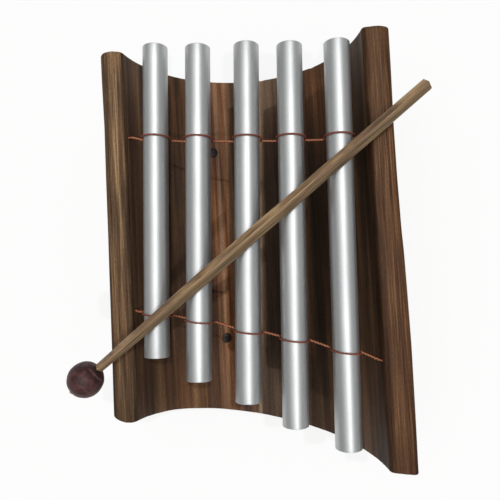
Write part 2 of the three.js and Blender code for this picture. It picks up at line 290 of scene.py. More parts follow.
tubeAxes = [unit(np.array(joint["axis"])) for joint in frame["joints"] if joint["name"].endswith("_slide")]
tubeMiddles = [middleOf(f"tube_{i + 1}") for i in range(tubeCount)]
tubeLow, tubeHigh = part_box("tube_1")
tubeRadius = (tubeHigh.z - tubeLow.z) / 2
tubeZ = tubeMiddles[0][2]


# Cords: four strands, two in each row, twisted together between the tubes

cord = {
    "strand": 1.05 * mm,
    "pinch": 0.4 * mm,       # how far the strands press into each other
    "lay": 4.2 * mm,         # length of one full turn of the pair
    "plyLay": 2.4 * mm,      # length of one turn of a strand's own two plies
    "plyDepth": 0.15,
    "sag": 7.8 * mm,         # the twisted stretches lie this far below the tube axes
    "reach": 8.4 * mm,       # from a tube's axis to where the strands meet
    "turn": {"rear": 0.5, "front": 0.55},    # 0 goes squarely round a tube, 1 along the row
    # mm: how far each loop has slipped along its tube
    "slip": {"rear": (0, 0, 0, 0, 0), "front": (-0.4, 0, -0.6, 0.3, 0.3)},
    "clearance": 0.3 * mm,
    "holeDrop": 4 * mm,
    "holeSlant": 35,         # degrees
    "holeRoom": 0.45 * mm,   # between the cord and its hole
    "lift": 2 * mm,          # how far inside the wall an end turns down into its hole
    "inWall": 1 * mm,        # where the loose cord and the fixed cord meet inside the wall
    "knot": 4.4 * mm,
    "knotGap": 0.6 * mm,
    "knotCord": 0.62 * mm,   # radius of the cord in a knot
    "rear": (-55.8, -68.2),  # mm from the trough's rear end to the cord at the left and the right wall
    "front": (85.5, 49.4),   # and from its front end
    "step": 0.13 * mm,
    "bend": 0.7 * mm,        # softening of the pair's corners
    "smoothing": 0.28 * mm,
    "arcSteps": 90,
    "sides": 14,
    "paired": (3 * mm, 1.2 * mm),      # heights over the pair's middle where its colour starts and is full
    # the copper crests and nearly black gaps are painted highlight and painted shade
    "crestHighlight": (-0.1 * mm, 0.85 * mm),   # and from its dark gaps to its light crests
}


# Waxed twine, twisted: dark brick on the loops; where the strands are paired, a painted highlight in copper
# where one strand crosses on top, and painted shade, nearly black, in the gaps beside it
def waxedTwine():
    material, tree = newMaterial("waxed brick-brown twine")
    paired = addNode(tree, "Attribute", attribute_name="paired").outputs["Fac"]
    crestHighlight = addNode(tree, "Attribute", attribute_name="crestHighlight").outputs["Fac"]
    fibres = addNode(tree, "TexNoise", {
        "Vector": grainPlace(tree), "Scale": 2600, "Detail": 3, "Roughness": 0.6,
    }).outputs["Fac"]
    loopRamp = addNode(tree, "ValToRGB", {"Fac": fibres})
    loops = setStops(loopRamp, ((0.3, "#562b1f"), (0.5, "#7e422f"), (0.72, "#9b553e")))
    uneven = addNode(tree, "MapRange", {"Value": fibres, "To Min": -0.3, "To Max": 0.3})
    top = addNode(tree, "Math", {0: crestHighlight, 1: uneven.outputs[0]}, operation="ADD")
    pairRamp = addNode(tree, "ValToRGB", {"Fac": top.outputs[0]})
    pairs = setStops(pairRamp, ((0.1, "#34201a"), (0.45, "#6d3f2d"), (0.75, "#95573d"), (1, "#ba7854")))
    colour = addNode(tree, "Mix", {0: paired, 6: loops, 7: pairs}, data_type="RGBA")
    return finishMaterial(material, fibres, 0.25, 0.05, {
        "Base Color": colour.outputs[2], "Roughness": 0.5, "IOR": 1.46, "Specular IOR Level": 0.35,
    })


slant = np.radians(cord["holeSlant"])
holeZ = rimZ - cord["holeDrop"]
holeX = halfWidth(innerRadius, holeZ)
sagZ = tubeZ - cord["sag"]
# Distance through the wall along the slanting hole
holeLead = holeX * np.cos(slant) + (axisZ - holeZ) * np.sin(slant)
holeLength = np.sqrt(holeLead ** 2 + outerRadius ** 2 - innerRadius ** 2) - holeLead
knotOut = holeLength + cord["knot"] / 2 + cord["knotGap"]
endOuts = (knotOut, 0, -cord["lift"])    # an end's corners, as distances out along its hole


# A row: the mouths of its two holes, the way from one to the other, and where its loops go round the tubes
def rowLine(row):
    end = rearY if row == "rear" else frontY
    mouths = [np.array([axisX + side * holeX, end + y * mm, holeZ]) for side, y in zip((-1, 1), cord[row])]
    direction = unit(mouths[1] - mouths[0])
    line = {"mouths": mouths, "direction": direction, "loops": [], "across": []}
    turn = cord["turn"][row]
    for i, axis in enumerate(tubeAxes):
        square = np.array([axis[1], -axis[0]])
        across = (1 - turn) * square + turn * direction[:2]
        line["across"].append(across / (across @ square))
        line["loops"].append(middleOf(f"cord_{row}_loop_{i + 1}")[:2] + cord["slip"][row][i] * mm * axis[:2])
    return line


def inHole(line, side, out):
    mouth = line["mouths"][0 if side < 0 else 1]
    return mouth + side * out * np.cos(slant) * line["direction"] - (0, 0, out * np.sin(slant))


# A place beside a loop's tube: a distance across from its axis and a height
def besideTube(line, index, out, z):
    return np.array([*(line["loops"][index] + out * line["across"][index]), z])


# A path averaged along itself with a bell-shaped weight
def softened(path, width):
    reachOut = round(3 * width / cord["step"])
    kernel = np.exp(-0.5 * (np.arange(-reachOut, reachOut + 1) * cord["step"] / width) ** 2)
    kernel /= kernel.sum()
    padded = np.pad(path, ((reachOut, reachOut), (0, 0)), mode="reflect", reflect_type="odd")
    return np.stack([np.convolve(padded[:, axis], kernel, "valid") for axis in range(3)], axis=1)


# A path in even steps, softened
def smoothPath(path, width):
    return softened(evenly(path, round(lengthOf(path) / cord["step"])), width)


def lengthOf(path):
    return np.linalg.norm(np.diff(path, axis=0), axis=1).sum()


# Unit vectors level beside a path, and square to both
def sidesOf(line, path):
    level = np.array([-line["direction"][1], line["direction"][0], 0])
    ahead = unit(np.gradient(path, axis=0))
    side = unit(level - (ahead @ level)[:, None] * ahead)
    return side, np.cross(ahead, side)


# The two strands of a row. Between the tubes each is a helix round the cord's middle, a half turn from its
# partner. At a tube one strand takes the arc over it, the other the arc under it, and a straight tangent
# leads from each arc to the meeting point.
def strandPaths(line):
    reach = cord["reach"]
    offset = (cord["strand"] - cord["pinch"]) / 2
    loopRadius = tubeRadius + cord["clearance"] + cord["strand"] / 2
    meet = np.arctan2(-cord["sag"], reach)
    leave = np.arccos(loopRadius / np.hypot(reach, cord["sag"]))
    starts = [besideTube(line, i, -reach, sagZ) for i in range(tubeCount)]
    stops = [besideTube(line, i, reach, sagZ) for i in range(tubeCount)]
    ends = [[inHole(line, side, out) for out in endOuts] for side in (-1, 1)]
    middles = [[*ends[0], starts[0]], *zip(stops[:-1], starts[1:]), [stops[-1], *ends[1][::-1]]]
    strands = [[], []]
    over = 0
    for i, middle in enumerate(middles):
        middle = np.array(middle)
        halfTurns = max(1, round(2 * lengthOf(middle) / cord["lay"]))
        spots = smoothPath(middle, cord["bend"])
        side, up = sidesOf(line, spots)
        turn = np.pi * np.linspace(0, halfTurns, len(spots))
        for strand in (0, 1):
            phase = (turn + (np.pi / 2 if strand == over else -np.pi / 2))[:, None]
            strands[strand].append(spots + offset * (np.cos(phase) * side + np.sin(phase) * up))
        if halfTurns % 2:
            over = 1 - over
        if i < tubeCount:
            for strand in (0, 1):
                way = 1 if strand == over else -1
                end = meet + way * leave
                angles = np.linspace(way * np.pi - end, end, cord["arcSteps"])
                flat = line["loops"][i] + np.multiply.outer(loopRadius * np.cos(angles), line["across"][i])
                strands[strand].append(np.column_stack([flat, tubeZ + loopRadius * np.sin(angles)]))
    return [smoothPath(np.concatenate(parts), cord["smoothing"]) for parts in strands]


# Height of the pair's middle over places along X: straight stretches through the meeting points
def middleHeight(line, x):
    points = [inHole(line, -1, out) for out in endOuts]
    points.append(besideTube(line, 0, -cord["reach"], sagZ))
    points.append(besideTube(line, tubeCount - 1, cord["reach"], sagZ))
    points += [inHole(line, 1, out) for out in endOuts[::-1]]
    points = np.array(points)
    return np.interp(x, points[:, 0], points[:, 2])


# A strand's surface: rings round its path, with radius r(1 + d cos 2(angle - turn)) for its two plies
def strandRings(line, path):
    turn = 2 * np.pi * np.arange(len(path))[:, None] * cord["step"] / cord["plyLay"]
    ply = 1 + cord["plyDepth"] * np.cos(2 * (anglesRound(cord["sides"]) - turn))
    radius = (cord["strand"] / 2 / (1 + cord["plyDepth"] / 2) * ply)[:, :, None]
    return ringsRound(path, *sidesOf(line, path), radius, cord["sides"])


# Both strands of a row between two places along X, each a closed tube, and a knot where there is one
def cordPiece(name, line, strands, low, high, *knot):
    shapes = []
    for path, rings in strands:
        begin, stop = (int(np.argmin(np.abs(path[:, 0] - place))) for place in (low, high))
        part = rings[begin:stop + 1]
        shapes.append((part.reshape(-1, 3), tubeFaces(*part.shape[:2])))
    thing = addObject(name, *joined([*shapes, *knot]), 80)
    spots = pointsOf(thing)
    height = spots[:, 2] - middleHeight(line, spots[:, 0])
    for attribute in ("paired", "crestHighlight"):
        setAttribute(thing, attribute, easeBetween(*cord[attribute], height))
    return thing


# An overhand knot: a trefoil (sin t + 2 sin 2t, cos t - 2 cos 2t, -sin 3t) carried by a round section
def knotShape(centre):
    count, sides, thick = 120, 10, cord["knotCord"]
    scale = (cord["knot"] / 2 - thick) / 3
    t = anglesRound(count)
    curve = [-np.sin(3 * t), np.sin(t) + 2 * np.sin(2 * t), np.cos(t) - 2 * np.cos(2 * t)]
    path = scale * np.stack(curve, axis=1)
    ahead = unit(np.roll(path, -1, axis=0) - np.roll(path, 1, axis=0))
    outward = unit(path)
    side = unit(outward - (outward * ahead).sum(axis=1)[:, None] * ahead)
    rings = ringsRound(path, side, np.cross(ahead, side), thick, sides)
    closed = np.concatenate([rings, rings[:1]])
    return closed.reshape(-1, 3) + centre, gridFaces(count + 1, sides, True)


twine = waxedTwine()
for row in rowNames:
    line = rowLine(row)
    strands = [(path, strandRings(line, path)) for path in strandPaths(line)]
    loops = np.array(line["loops"])
    mouths = [tuple(mouth) for mouth in line["mouths"]]
    halfWays = [(*place, sagZ) for place in (loops[:-1] + loops[1:]) / 2]
    cuts = [mouths[0][0] - cord["inWall"], *(place[0] for place in halfWays), mouths[1][0] + cord["inWall"]]
    for i in range(tubeCount):
        number = i + 1
        left = cordPiece(f"cord_{row}_{number}_left", line, strands, cuts[i], loops[i][0])
        right = cordPiece(f"cord_{row}_{number}_right", line, strands, loops[i][0], cuts[i + 1])
        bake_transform(left)
        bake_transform(right)
        dress(left, twine, "waxed_cord", f"cord_{row}_loop_{number}")
        if number < tubeCount:
            dress(right, twine, "waxed_cord", f"cord_{row}_span_{number}{number + 1}")
        else:
            dress(right, twine, "waxed_cord", f"cord_{row}_loop_{number}")
    for side, word in ((-1, "left"), (1, "right")):
        knotPlace = inHole(line, side, knotOut)
        ends = sorted([knotPlace[0], cuts[0] if side < 0 else cuts[-1]])
        fixed = cordPiece(f"cord_{row}_knot_{word}", line, strands, *ends, knotShape(knotPlace))
        dress(fixed, twine, "waxed_cord", f"cord_{row}_end_{word}")
        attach(fixed, "root")
print("cords twisted")


# Trough

trough = {
    "outerCorner": 3.2 * mm,     # rounding of the rims
    "innerCorner": 2.4 * mm,
    "crown": 0.6 * mm,
    "across": 220,
    "through": 22,
    "along": 90,
    "endRounding": 0.7 * mm,     # where the walls end
    "rimEndRounding": 1.7 * mm,  # where the rims end
    "sawMarks": ((11, 0.25, 9), (13, 0.12, 1.6)),    # noise seed, depth and size in mm
    "endGrain": 0.1 * mm,
    "endGrainSize": 0.7 * mm,
    "chips": ((10.6, 0.5, 1.6), (48.2, 0.4, 1.3), (-39.2, 0.5, 2.2)),   # mm: x, depth and width, rear edge
    # mm: how far each cut end lies in from its plane, at places across the trough
    "rearEnd": ((-92, 2.2), (-89, 0.3), (-84, -0.5), (-79, 0.4), (-75, 1.6), (-40, 0.9), (0, 0.4), (45, 0.4),
                (74, 0.9), (80, 0.7), (86, 0.7), (92, 2.2)),
    "frontEnd": ((-92, 1.4), (-88, -0.2), (-84, -0.8), (-80, -0.2), (-76, 1.6), (-68, 1.9), (-45, 1.2),
                 (-18, 0.4), (10, 0), (78, 0), (84, 0.3), (92, 1.3)),
    # mm: how far each rim's outside bulges at places along the trough, from the rear end
    "leftSide": ((117, 0.45), (86, 0.05), (55, 0.45), (17, 0.7), (-8, 1.0), (-58, 1.35), (-95, 1.7)),
    "rightSide": ((127, 0.2), (108, 0), (70, -0.75), (39, -0.85), (8, -0.5), (-5, 0), (-30, 0.3), (-61, 0.5),
                  (-92, 0.1), (-130, -0.6)),
    "inside": ((120, -0.6), (-120, -1.5)),    # mm: how far the hollow lies to the right of the middle
    # fibres, ridges and slow waves: noise seed, height, width and length in mm
    "relief": ((21, 0.09, 0.9, 45), (22, 0.12, 3.4, 90), (23, 0.22, 16, 60)),
    "scraped": 0.2 * mm,         # how much deeper the inside is
    "sharp": 38,                 # degrees: sharper edges are shaded as edges
}


# A line through given places in mm, softened by averaging it over a stretch
def through(places, at, spread=2.5):
    places = np.array(sorted(places))
    shifts = np.linspace(-spread, spread, 7)
    return mm * np.mean([np.interp(at / mm + shift, places[:, 0], places[:, 1]) for shift in shifts], axis=0)


# The right rim in (x, z), from its outside over its crowned top to its inside
def rimOutline():
    outer = halfWidth(outerRadius, rimZ)
    inner = halfWidth(innerRadius, rimZ)
    outsideLow = rimZ - trough["outerCorner"]
    insideLow = rimZ - trough["innerCorner"]
    points = np.concatenate([
        roundCorner((halfWidth(outerRadius, outsideLow), outsideLow), (outer, rimZ),
                    (outer - trough["outerCorner"], rimZ), 24),
        roundCorner((inner + trough["innerCorner"], rimZ), (inner, rimZ),
                    (halfWidth(innerRadius, insideLow), insideLow), 24),
    ])
    middle = (outer + inner) / 2
    share = np.clip((points[:, 0] - middle) / (outer - middle), -1, 1)
    top = easeBetween(insideLow, rimZ, points[:, 1])
    points[:, 1] -= trough["crown"] * share ** 2 * top
    return evenly(points, trough["through"] + 1)


# The section as a loop in (x, z): outside from left to right, right rim, inside back, left rim
def sectionLoop():
    rim = rimOutline()
    arcs = []
    for radius, corner, way in ((outerRadius, rim[0], 1), (innerRadius, rim[-1], -1)):
        end = way * np.arcsin(corner[0] / radius)
        angle = np.linspace(-end, end, trough["across"] + 1)
        arcs.append(np.stack([radius * np.sin(angle), axisZ - radius * np.cos(angle)], axis=1))
    leftRim = rim[::-1] * (-1, 1)
    return np.concatenate([arcs[0], rim[1:], arcs[1][1:], leftRim[1:-1]])


# A flat patch inside four edges: Coons' sum of the two ruled surfaces less the one through the corners
def patchInside(loop):
    across, deep = trough["across"], trough["through"]
    outside = loop[:across + 1]
    right = loop[across:across + deep + 1]
    inside = loop[across + deep:2 * across + deep + 1][::-1]
    left = np.concatenate([loop[2 * across + deep:], loop[:1]])[::-1]
    u = np.linspace(0, 1, across + 1)[None, :, None]
    v = np.linspace(0, 1, deep + 1)[:, None, None]
    ruledOne = (1 - v) * outside[None] + v * inside[None]
    ruledTwo = (1 - u) * left[:, None] + u * right[:, None]
    corners = (1 - v) * ((1 - u) * outside[0] + u * outside[-1]) + v * ((1 - u) * inside[0] + u * inside[-1])
    return ruledOne + ruledTwo - corners


# Where the front end (side -1) or the rear end (side 1) is cut, at places (x, z) of the section
def endY(x, z, side):
    rear = side > 0
    angle = np.radians(culm["rearCut"] if rear else culm["frontCut"])
    plane = (rearY if rear else frontY) + x * np.tan(angle)
    if rear:
        plane = plane + (z - rimZ) * np.tan(np.radians(culm["rearLean"]))
    inward = sum(depth * mm * (0.5 + 0.5 * smoothNoise(seed + side, x / (size * mm), z / (size * mm), 0.5))
                 for seed, depth, size in trough["sawMarks"])
    inward = inward + through(trough["rearEnd" if rear else "frontEnd"], x, 1.2)
    if rear:
        depthInWall = easeBetween(innerRadius + 5 * mm, innerRadius, np.hypot(x, z - axisZ))
        for place, depth, width in trough["chips"]:
            near = bell(((x + axisX) / mm - place) / width) * (z < axisZ - 30 * mm)
            inward = inward + depth * mm * near * depthInWall
    return np.clip(plane - side * inward, troughLow.y, troughHigh.y)


def troughShape():
    loop = sectionLoop()
    outward = outwardOf(loop)
    rimness = easeBetween(rimZ - 7 * mm, rimZ - 1 * mm, loop[:, 1])
    fillet = trough["endRounding"] + (trough["rimEndRounding"] - trough["endRounding"]) * rimness
    insideLoop = np.hypot(loop[:, 0], loop[:, 1] - axisZ) < innerRadius + 2 * mm
    fillet = np.where(insideLoop & (rimness > 0), trough["endRounding"] + 0.3 * mm * rimness, fillet)
    fillet = np.convolve(np.pad(fillet, 4, mode="wrap"), np.ones(9) / 9, "valid")
    # Each ring's inset, its distance from the cut ends, and its share of the way from front to rear
    bend = np.radians(np.linspace(0, 90, 6))
    rows = [(fillet * (1 - np.sin(t)), fillet * (1 - np.cos(t)), 0) for t in bend]
    rows += [(0 * fillet, fillet, share) for share in np.linspace(0, 1, trough["along"])[1:-1]]
    rows += [(inset, fromEnd, 1) for inset, fromEnd, _ in rows[len(bend) - 1::-1]]
    rings = []
    for inset, fromEnd, share in rows:
        flat = loop - inset[:, None] * outward
        front, rear = (endY(flat[:, 0], flat[:, 1], side) for side in (-1, 1))
        y = front + fromEnd + share * (rear - front - 2 * fromEnd)
        rings.append(np.stack([flat[:, 0], y, flat[:, 1]], axis=1))
    rings = np.array(rings)

    # The surface's relief along its normal: fibres and ridges are weak on the smooth skin, waves on the
    # planed rims, and the inside is scraped
    x, y, z = rings[..., 0], rings[..., 1], rings[..., 2]
    radius = np.hypot(x, z - axisZ)
    skin = easeBetween(outerRadius - 3 * mm, outerRadius, radius) * (1 - rimness)
    fibres, ridges, waves = [
        height * smoothNoise(seed, x / (wide * mm), y / (long * mm), z / (wide * mm))
        for seed, height, wide, long in trough["relief"]
    ]
    relief = (fibres + ridges) * (1 - 0.75 * skin) + waves * (1 - rimness * 0.6)
    depth = mm * relief - trough["scraped"] * (1 - easeBetween(innerRadius, innerRadius + 2 * mm, radius))
    rings[..., 0] += depth * outward[:, 0]
    rings[..., 2] = np.minimum(z + depth * outward[:, 1], rimZ)

    # The wall's sides follow the natural stem: shifts along X that fade towards the floor
    share = np.clip((np.hypot(x, z - axisZ) - innerRadius) / (outerRadius - innerRadius), 0, 1)
    upper = (np.abs(x) / outerRadius) ** 2
    bulge = np.where(x < 0, -through(trough["leftSide"], y), through(trough["rightSide"], y))
    rings[..., 0] += share * upper * bulge + (1 - share) * through(trough["inside"], y)

    shapes = [(rings.reshape(-1, 3), gridFaces(len(rings), len(loop), True))]
    for end, inward in ((0, 1), (-1, -1)):
        patch = patchInside(rings[end][:, [0, 2]])
        height = patchInside(rings[end][:, [1, 1]])[..., 0]
        grain = smoothNoise(31 + end, *np.moveaxis(patch / trough["endGrainSize"], -1, 0), 0.5)
        height[2:-2, 2:-2] += inward * trough["endGrain"] * grain[2:-2, 2:-2]
        cap = np.stack([patch[..., 0], height, patch[..., 1]], axis=-1)
        shapes.append((cap.reshape(-1, 3), gridFaces(*height.shape)))
    points, faces = joined(shapes)
    points[:, 0] += axisX
    return points, faces


# A closed rod from one point to another
def rodBetween(a, b, radius, sides=24):
    ahead = unit(b - a)
    side = unit(np.cross(ahead, (0, 1, 0) if abs(ahead[1]) < 0.9 else (1, 0, 0)))
    rings = ringsRound(np.array([a, b]), side, np.cross(ahead, side), radius, sides)
    return rings.reshape(-1, 3), tubeFaces(2, sides)


# Foot screws: the middle of each head on the inside of the bamboo, and the way it points

screw = {
    "head": 6.6 * mm,
    "dome": 0.5 * mm,
    "rim": 0.35 * mm,        # rounding of the head's edge
    "shank": 3.5 * mm,
    "length": 26 * mm,
    "sink": 2 * mm,          # depth of the countersunk head
    "slotWidth": 1.0 * mm,
    "slotReach": 2.1 * mm,
    "slotDepth": 1.1 * mm,
    "slotEdge": 0.12 * mm,   # rounding of the slots' sides
    "slotEnd": 0.5 * mm,     # and of their ends
    "tip": 0.05 * mm,
    "hole": 7.3 * mm,
    "holeDepth": 3.2 * mm,
    "sides": 96,
    "rings": 40,
}
screwPlaces = {}
for node in frame["nodes"]:
    if node.startswith("foot_screw_"):
        low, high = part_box(node)
        y = (low.y + high.y) / 2
        # The head's middle: the axis of the screw runs through the bamboo's axis and the box's middle
        away = unit(np.array([(low.x + high.x) / 2 - axisX, (low.z + high.z) / 2 - axisZ]))
        screwPlaces[node] = (np.array([axisX + innerRadius * away[0], y, axisZ + innerRadius * away[1]]),
                             np.array([away[0], 0, away[1]]))


# Cuts the cord holes through the walls, and a shallow hole for each screw's head
def cutHoles(thing):
    beyond, above = 5 * mm, 4 * mm    # how far the cutting rods stand past the surface
    rods = []
    for row in rowNames:
        line = rowLine(row)
        for side in (-1, 1):
            ends = [inHole(line, side, out) for out in (-beyond, holeLength + beyond)]
            rods.append(rodBetween(*ends, cord["strand"] - cord["pinch"] / 2 + cord["holeRoom"]))
    for head, away in screwPlaces.values():
        rods.append(rodBetween(head - above * away, head + screw["holeDepth"] * away, screw["hole"] / 2, 40))
    cutter = addObject("cutter", *joined(rods))
    boolean = thing.modifiers.new("holes", "BOOLEAN")
    boolean.object = cutter
    boolean.operation = "DIFFERENCE"
    boolean.solver = "EXACT"
    with bpy.context.temp_override(object=thing, active_object=thing, selected_objects=[thing]):
        bpy.ops.object.modifier_apply(modifier=boolean.name)
    bpy.data.objects.remove(cutter)


# Giant bamboo, split, stained dark and varnished satin. The planed rims are fibrous: olive-brown on the left,
# warmer on the right, with painted shade along both edges and painted light on their crowns. Inside it is
# nearly black-brown, with a lighter red-brown band, greyish pale patches that are partly painted light and
# patches of painted shade, and the skin outside is red-brown.
bamboo = {
    # each noise: how far it is squeezed along the grain, its place, scale, detail and roughness
    "noises": {
        "fine": (0.018, (0, 0, 0), 1350, 3, 0.62),
        "medium": (0.02, (3, 1, 7), 420, 3, 0.6),
        "wide": (0.035, (2, 5, 4), 150, 2, 0.5),
        "broad": (0.3, (5, 3, 1), 60, 2, 0.5),
        "fleck": (0.25, (1, 8, 2), 2100, 2, 0.5),
    },
    # streaks mixed from two patterns, with the share of the second
    "mixes": (("narrow", "fine", "medium", 0.45), ("fibrous", "narrow", "wide", 0.12),
              ("calm", "narrow", "wide", 0.6)),
    # each tone: the streaks it follows, and its colours from the dark streaks to the light ones
    "tones": {
        "leftRim": ("fibrous", (0.38, 0.46, 0.52, 0.58, 0.65), "#39291b #4d3826 #5e4631 #71573d #8f6f4b"),
        "rightRim": ("fibrous", (0.38, 0.46, 0.52, 0.58, 0.65), "#351f10 #472c18 #55371f #66462a #825c38"),
        "lightRim": ("fibrous", (0.38, 0.46, 0.52, 0.58, 0.65), "#463322 #665038 #7d6146 #9c7d5a #c3a37a"),
        "inner": ("calm", (0.38, 0.46, 0.54, 0.65), "#35291f #453429 #553f2f #6e533a"),
        "banded": ("calm", (0.38, 0.46, 0.54, 0.65), "#50301d #7b4e2e #97623b #c09468"),
        "paleAndLit": ("calm", (0.38, 0.5, 0.65), "#614c3b #8c735b #b09678"),
        "outer": ("calm", (0.38, 0.5, 0.62), "#472b1c #6a4226 #8a5a35"),
    },
    # in turn, what is laid over a tone, and the attribute that says where
    "layers": (("inner", "banded", "band"), ("inner", "paleAndLit", "pale"), ("leftRim", "rightRim", "warm"),
               ("leftRim", "lightRim", "crown"), ("inner", "outer", "skin"), ("inner", "leftRim", "rim")),
    # unevenness of the stain: the noise, its range and the brightness it gives
    "stain": (("broad", (0.3, 0.7), (0.8, 1.2)), ("fleck", (0.35, 0.65), (0.82, 1.16))),
    # mm, on the inside: strength, middle (x, y) and half widths across and along
    "patches": {
        # pale: lighter at both ends of the middle gap, partly the bamboo's tone and partly painted light
        # where the ends are lit
        "pale": ((0.5, 15, 124, 12, 30), (0.4, 14, -96, 12, 24)),
        # band: warm patches; the first, at the rear between the fourth and fifth tubes, is painted light
        "band": ((0.5, 52, 116, 13, 30), (0.3, -52, 112, 14, 32), (0.25, -52, -95, 16, 26)),
        # shade: painted shadow under the first tube's front end on the left wall, and painted light in the
        # band's middle, lifting the stick's shadow
        "shade": ((-0.4, -70, -82, 9, 30), (0.2, -26, 25, 8, 45)),
        # rimShade: lifts the painted shade on the left rim's inner edge at the rear
        "rimShade": ((0.8, -74, 115, 5, 45),),
    },
    # mm, on the inside: strength and how far it varies, place at y = 0, lean in 1 mm, half width, between
    # which places along Y it comes up, and how much of it there is before
    # the first streak, along the middle tube, is painted light
    "streaks": ((0.65, 0, 1.8, 0.0525, 1.6, 0, 1, 1), (0.3, 0, -18.5, 0, 2.2, 0, 1, 1),
                (1, 0.2, -25.9, 0.005, 1.1, -70, 10, 0.3), (0.4, -0.3, -29.6, 0, 0.9, 40, 0, 0)),
    "band": (-27.5, 3, 10.5),    # mm: the band's middle, how far it wanders, and its half width
}


def stainedBamboo():
    material, tree = newMaterial("stained and varnished bamboo")
    pattern, tone = {}, {}
    for name, (squeeze, place, scale, detail, rough) in bamboo["noises"].items():
        pattern[name] = addNode(tree, "TexNoise", {
            "Vector": grainPlace(tree, (1, squeeze, 1), place), "Scale": scale, "Detail": detail,
            "Roughness": rough,
        }).outputs["Fac"]
    for name, first, second, share in bamboo["mixes"]:
        pattern[name] = addNode(tree, "Mix", {0: share, 2: pattern[first], 3: pattern[second]}).outputs[0]
    for name, (streaks, places, colours) in bamboo["tones"].items():
        ramp = addNode(tree, "ValToRGB", {"Fac": pattern[streaks]})
        tone[name] = setStops(ramp, list(zip(places, colours.split())))
    for under, over, where in bamboo["layers"]:
        share = addNode(tree, "Attribute", attribute_name=where).outputs["Fac"]
        mix = addNode(tree, "Mix", {0: share, 6: tone[under], 7: tone[over]}, data_type="RGBA")
        tone[under] = mix.outputs[2]
    # painted light and shade from the shade attribute, times the stain's unevenness
    light = addNode(tree, "Attribute", attribute_name="shade").outputs["Fac"]
    for name, (low, high), (least, most) in bamboo["stain"]:
        level = addNode(tree, "MapRange", {
            "Value": pattern[name], "From Min": low, "From Max": high, "To Min": least, "To Max": most,
        })
        light = addNode(tree, "Math", {0: light, 1: level.outputs[0]}, operation="MULTIPLY").outputs[0]
    colour = addNode(tree, "VectorMath", {0: tone["inner"], 1: light}, operation="MULTIPLY")
    rough = addNode(tree, "MapRange", {
        "Value": pattern["fibrous"], "From Min": 0.35, "From Max": 0.65, "To Min": 0.66, "To Max": 0.48,
    })
    return finishMaterial(material, pattern["fibrous"], 0.6, 0.4, {
        "Base Color": colour.outputs[0], "Roughness": rough.outputs[0], "IOR": 1.5,
        "Specular IOR Level": 0.15,
    })


shell = addObject("trough", *troughShape(), trough["sharp"])
cutHoles(shell)
shell.data.shade_smooth()
shell.data.set_sharp_from_angle(angle=np.radians(trough["sharp"]))
spots = pointsOf(shell)
x, y, z = spots.T / mm            # from here to the end of the trough all lengths are in mm
across = x - axisX / mm
onLeft = across < 0
fromAxis = np.hypot(across, z - axisZ / mm)
fromRim = z - rimZ / mm


# The soft patches of one kind, added up
def patchesOf(kind):
    return sum(strength * bell(np.hypot((x - middleX) / wide, (y - middleY) / long))
               for strength, middleX, middleY, wide, long in bamboo["patches"][kind])


# A soft streak along the grain
def streakAt(strength, varies, place, lean, width, low, high, before):
    shown = before + (1 - before) * easeBetween(low, high, y)
    return (strength + varies * uneven) * bell((x - place - lean * y) / width) * shown


# Share of the way over a rim from its inner edge to its outer one
sign = np.sign(across)
innerEdge = sign * halfWidth(innerRadius, rimZ) + through(trough["inside"], spots[:, 1])
bulge = np.where(onLeft, -through(trough["leftSide"], spots[:, 1]), through(trough["rightSide"], spots[:, 1]))
outerEdge = sign * halfWidth(outerRadius, rimZ) + bulge
share = (across * mm - innerEdge) / (outerEdge - innerEdge) + 0.07 * smoothNoise(45, x / 3, y / 11, 0.5)

# The rims: painted shade along both edges, where they round over, and darker on the left towards the front; a
# lighter crown towards the rear, partly lighter fibres and partly painted light on the rounded top; warmer on
# the right
rimShade = 0.42 + 0.58 * easeBetween(0, 0.32, share) * (0.5 + 0.5 * easeBetween(1.02, 0.72, share))
rimShade *= (1 - 0.45 * easeBetween(-70, -125, y) * onLeft) * (1 + patchesOf("rimShade"))
crown = np.where(onLeft, 0.12 + 0.6 * easeBetween(-40, 100, y), 0.03 + 0.2 * easeBetween(0, 110, y))
setAttribute(shell, "rim", easeBetween(-4.2, -1.6, fromRim + 0.8 * smoothNoise(41, x / 5, y / 14, z / 5)))
setAttribute(shell, "crown", crown * bell((share - 0.45) / 0.26))
setAttribute(shell, "warm", easeBetween(-40, 40, across))
setAttribute(shell, "skin", easeBetween(-3, -1, fromAxis - outerRadius / mm))

# The inside: a red-brown band, and pale places at both ends and in streaks along it; the pale ends are partly
# painted light, and the streak along the middle tube is painted light
onInside = fromAxis < innerRadius / mm + 4
uneven = smoothNoise(47, 0.5, y / 24, 0.5)
pale = patchesOf("pale") + sum(streakAt(*streak) for streak in bamboo["streaks"])
setAttribute(shell, "pale", np.clip(pale, 0, 0.95) * onInside)
bandMiddle, bandWander, bandWidth = bamboo["band"]
fromBand = across - bandMiddle - bandWander * smoothNoise(43, 0, y / 70, 0)
band = bell(fromBand / bandWidth) * (0.55 + 0.45 * easeBetween(-130, -10, y)) + patchesOf("band")
setAttribute(shell, "band", np.clip(band, 0, 1) * onInside)
# painted shade on the right wall, fading out towards the rear, and the shade patches
wallShade = (1 - 0.1 * easeBetween(60, 72, across) * easeBetween(100, 20, y)) * (1 + patchesOf("shade"))
rimness = easeBetween(-4, -2, fromRim)
setAttribute(shell, "shade", rimness * rimShade + (1 - rimness) * wallShade)
dress(shell, stainedBamboo(), "stained_bamboo", "bamboo_trough")
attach(shell, "root")
print("trough carved")


# Foot screws

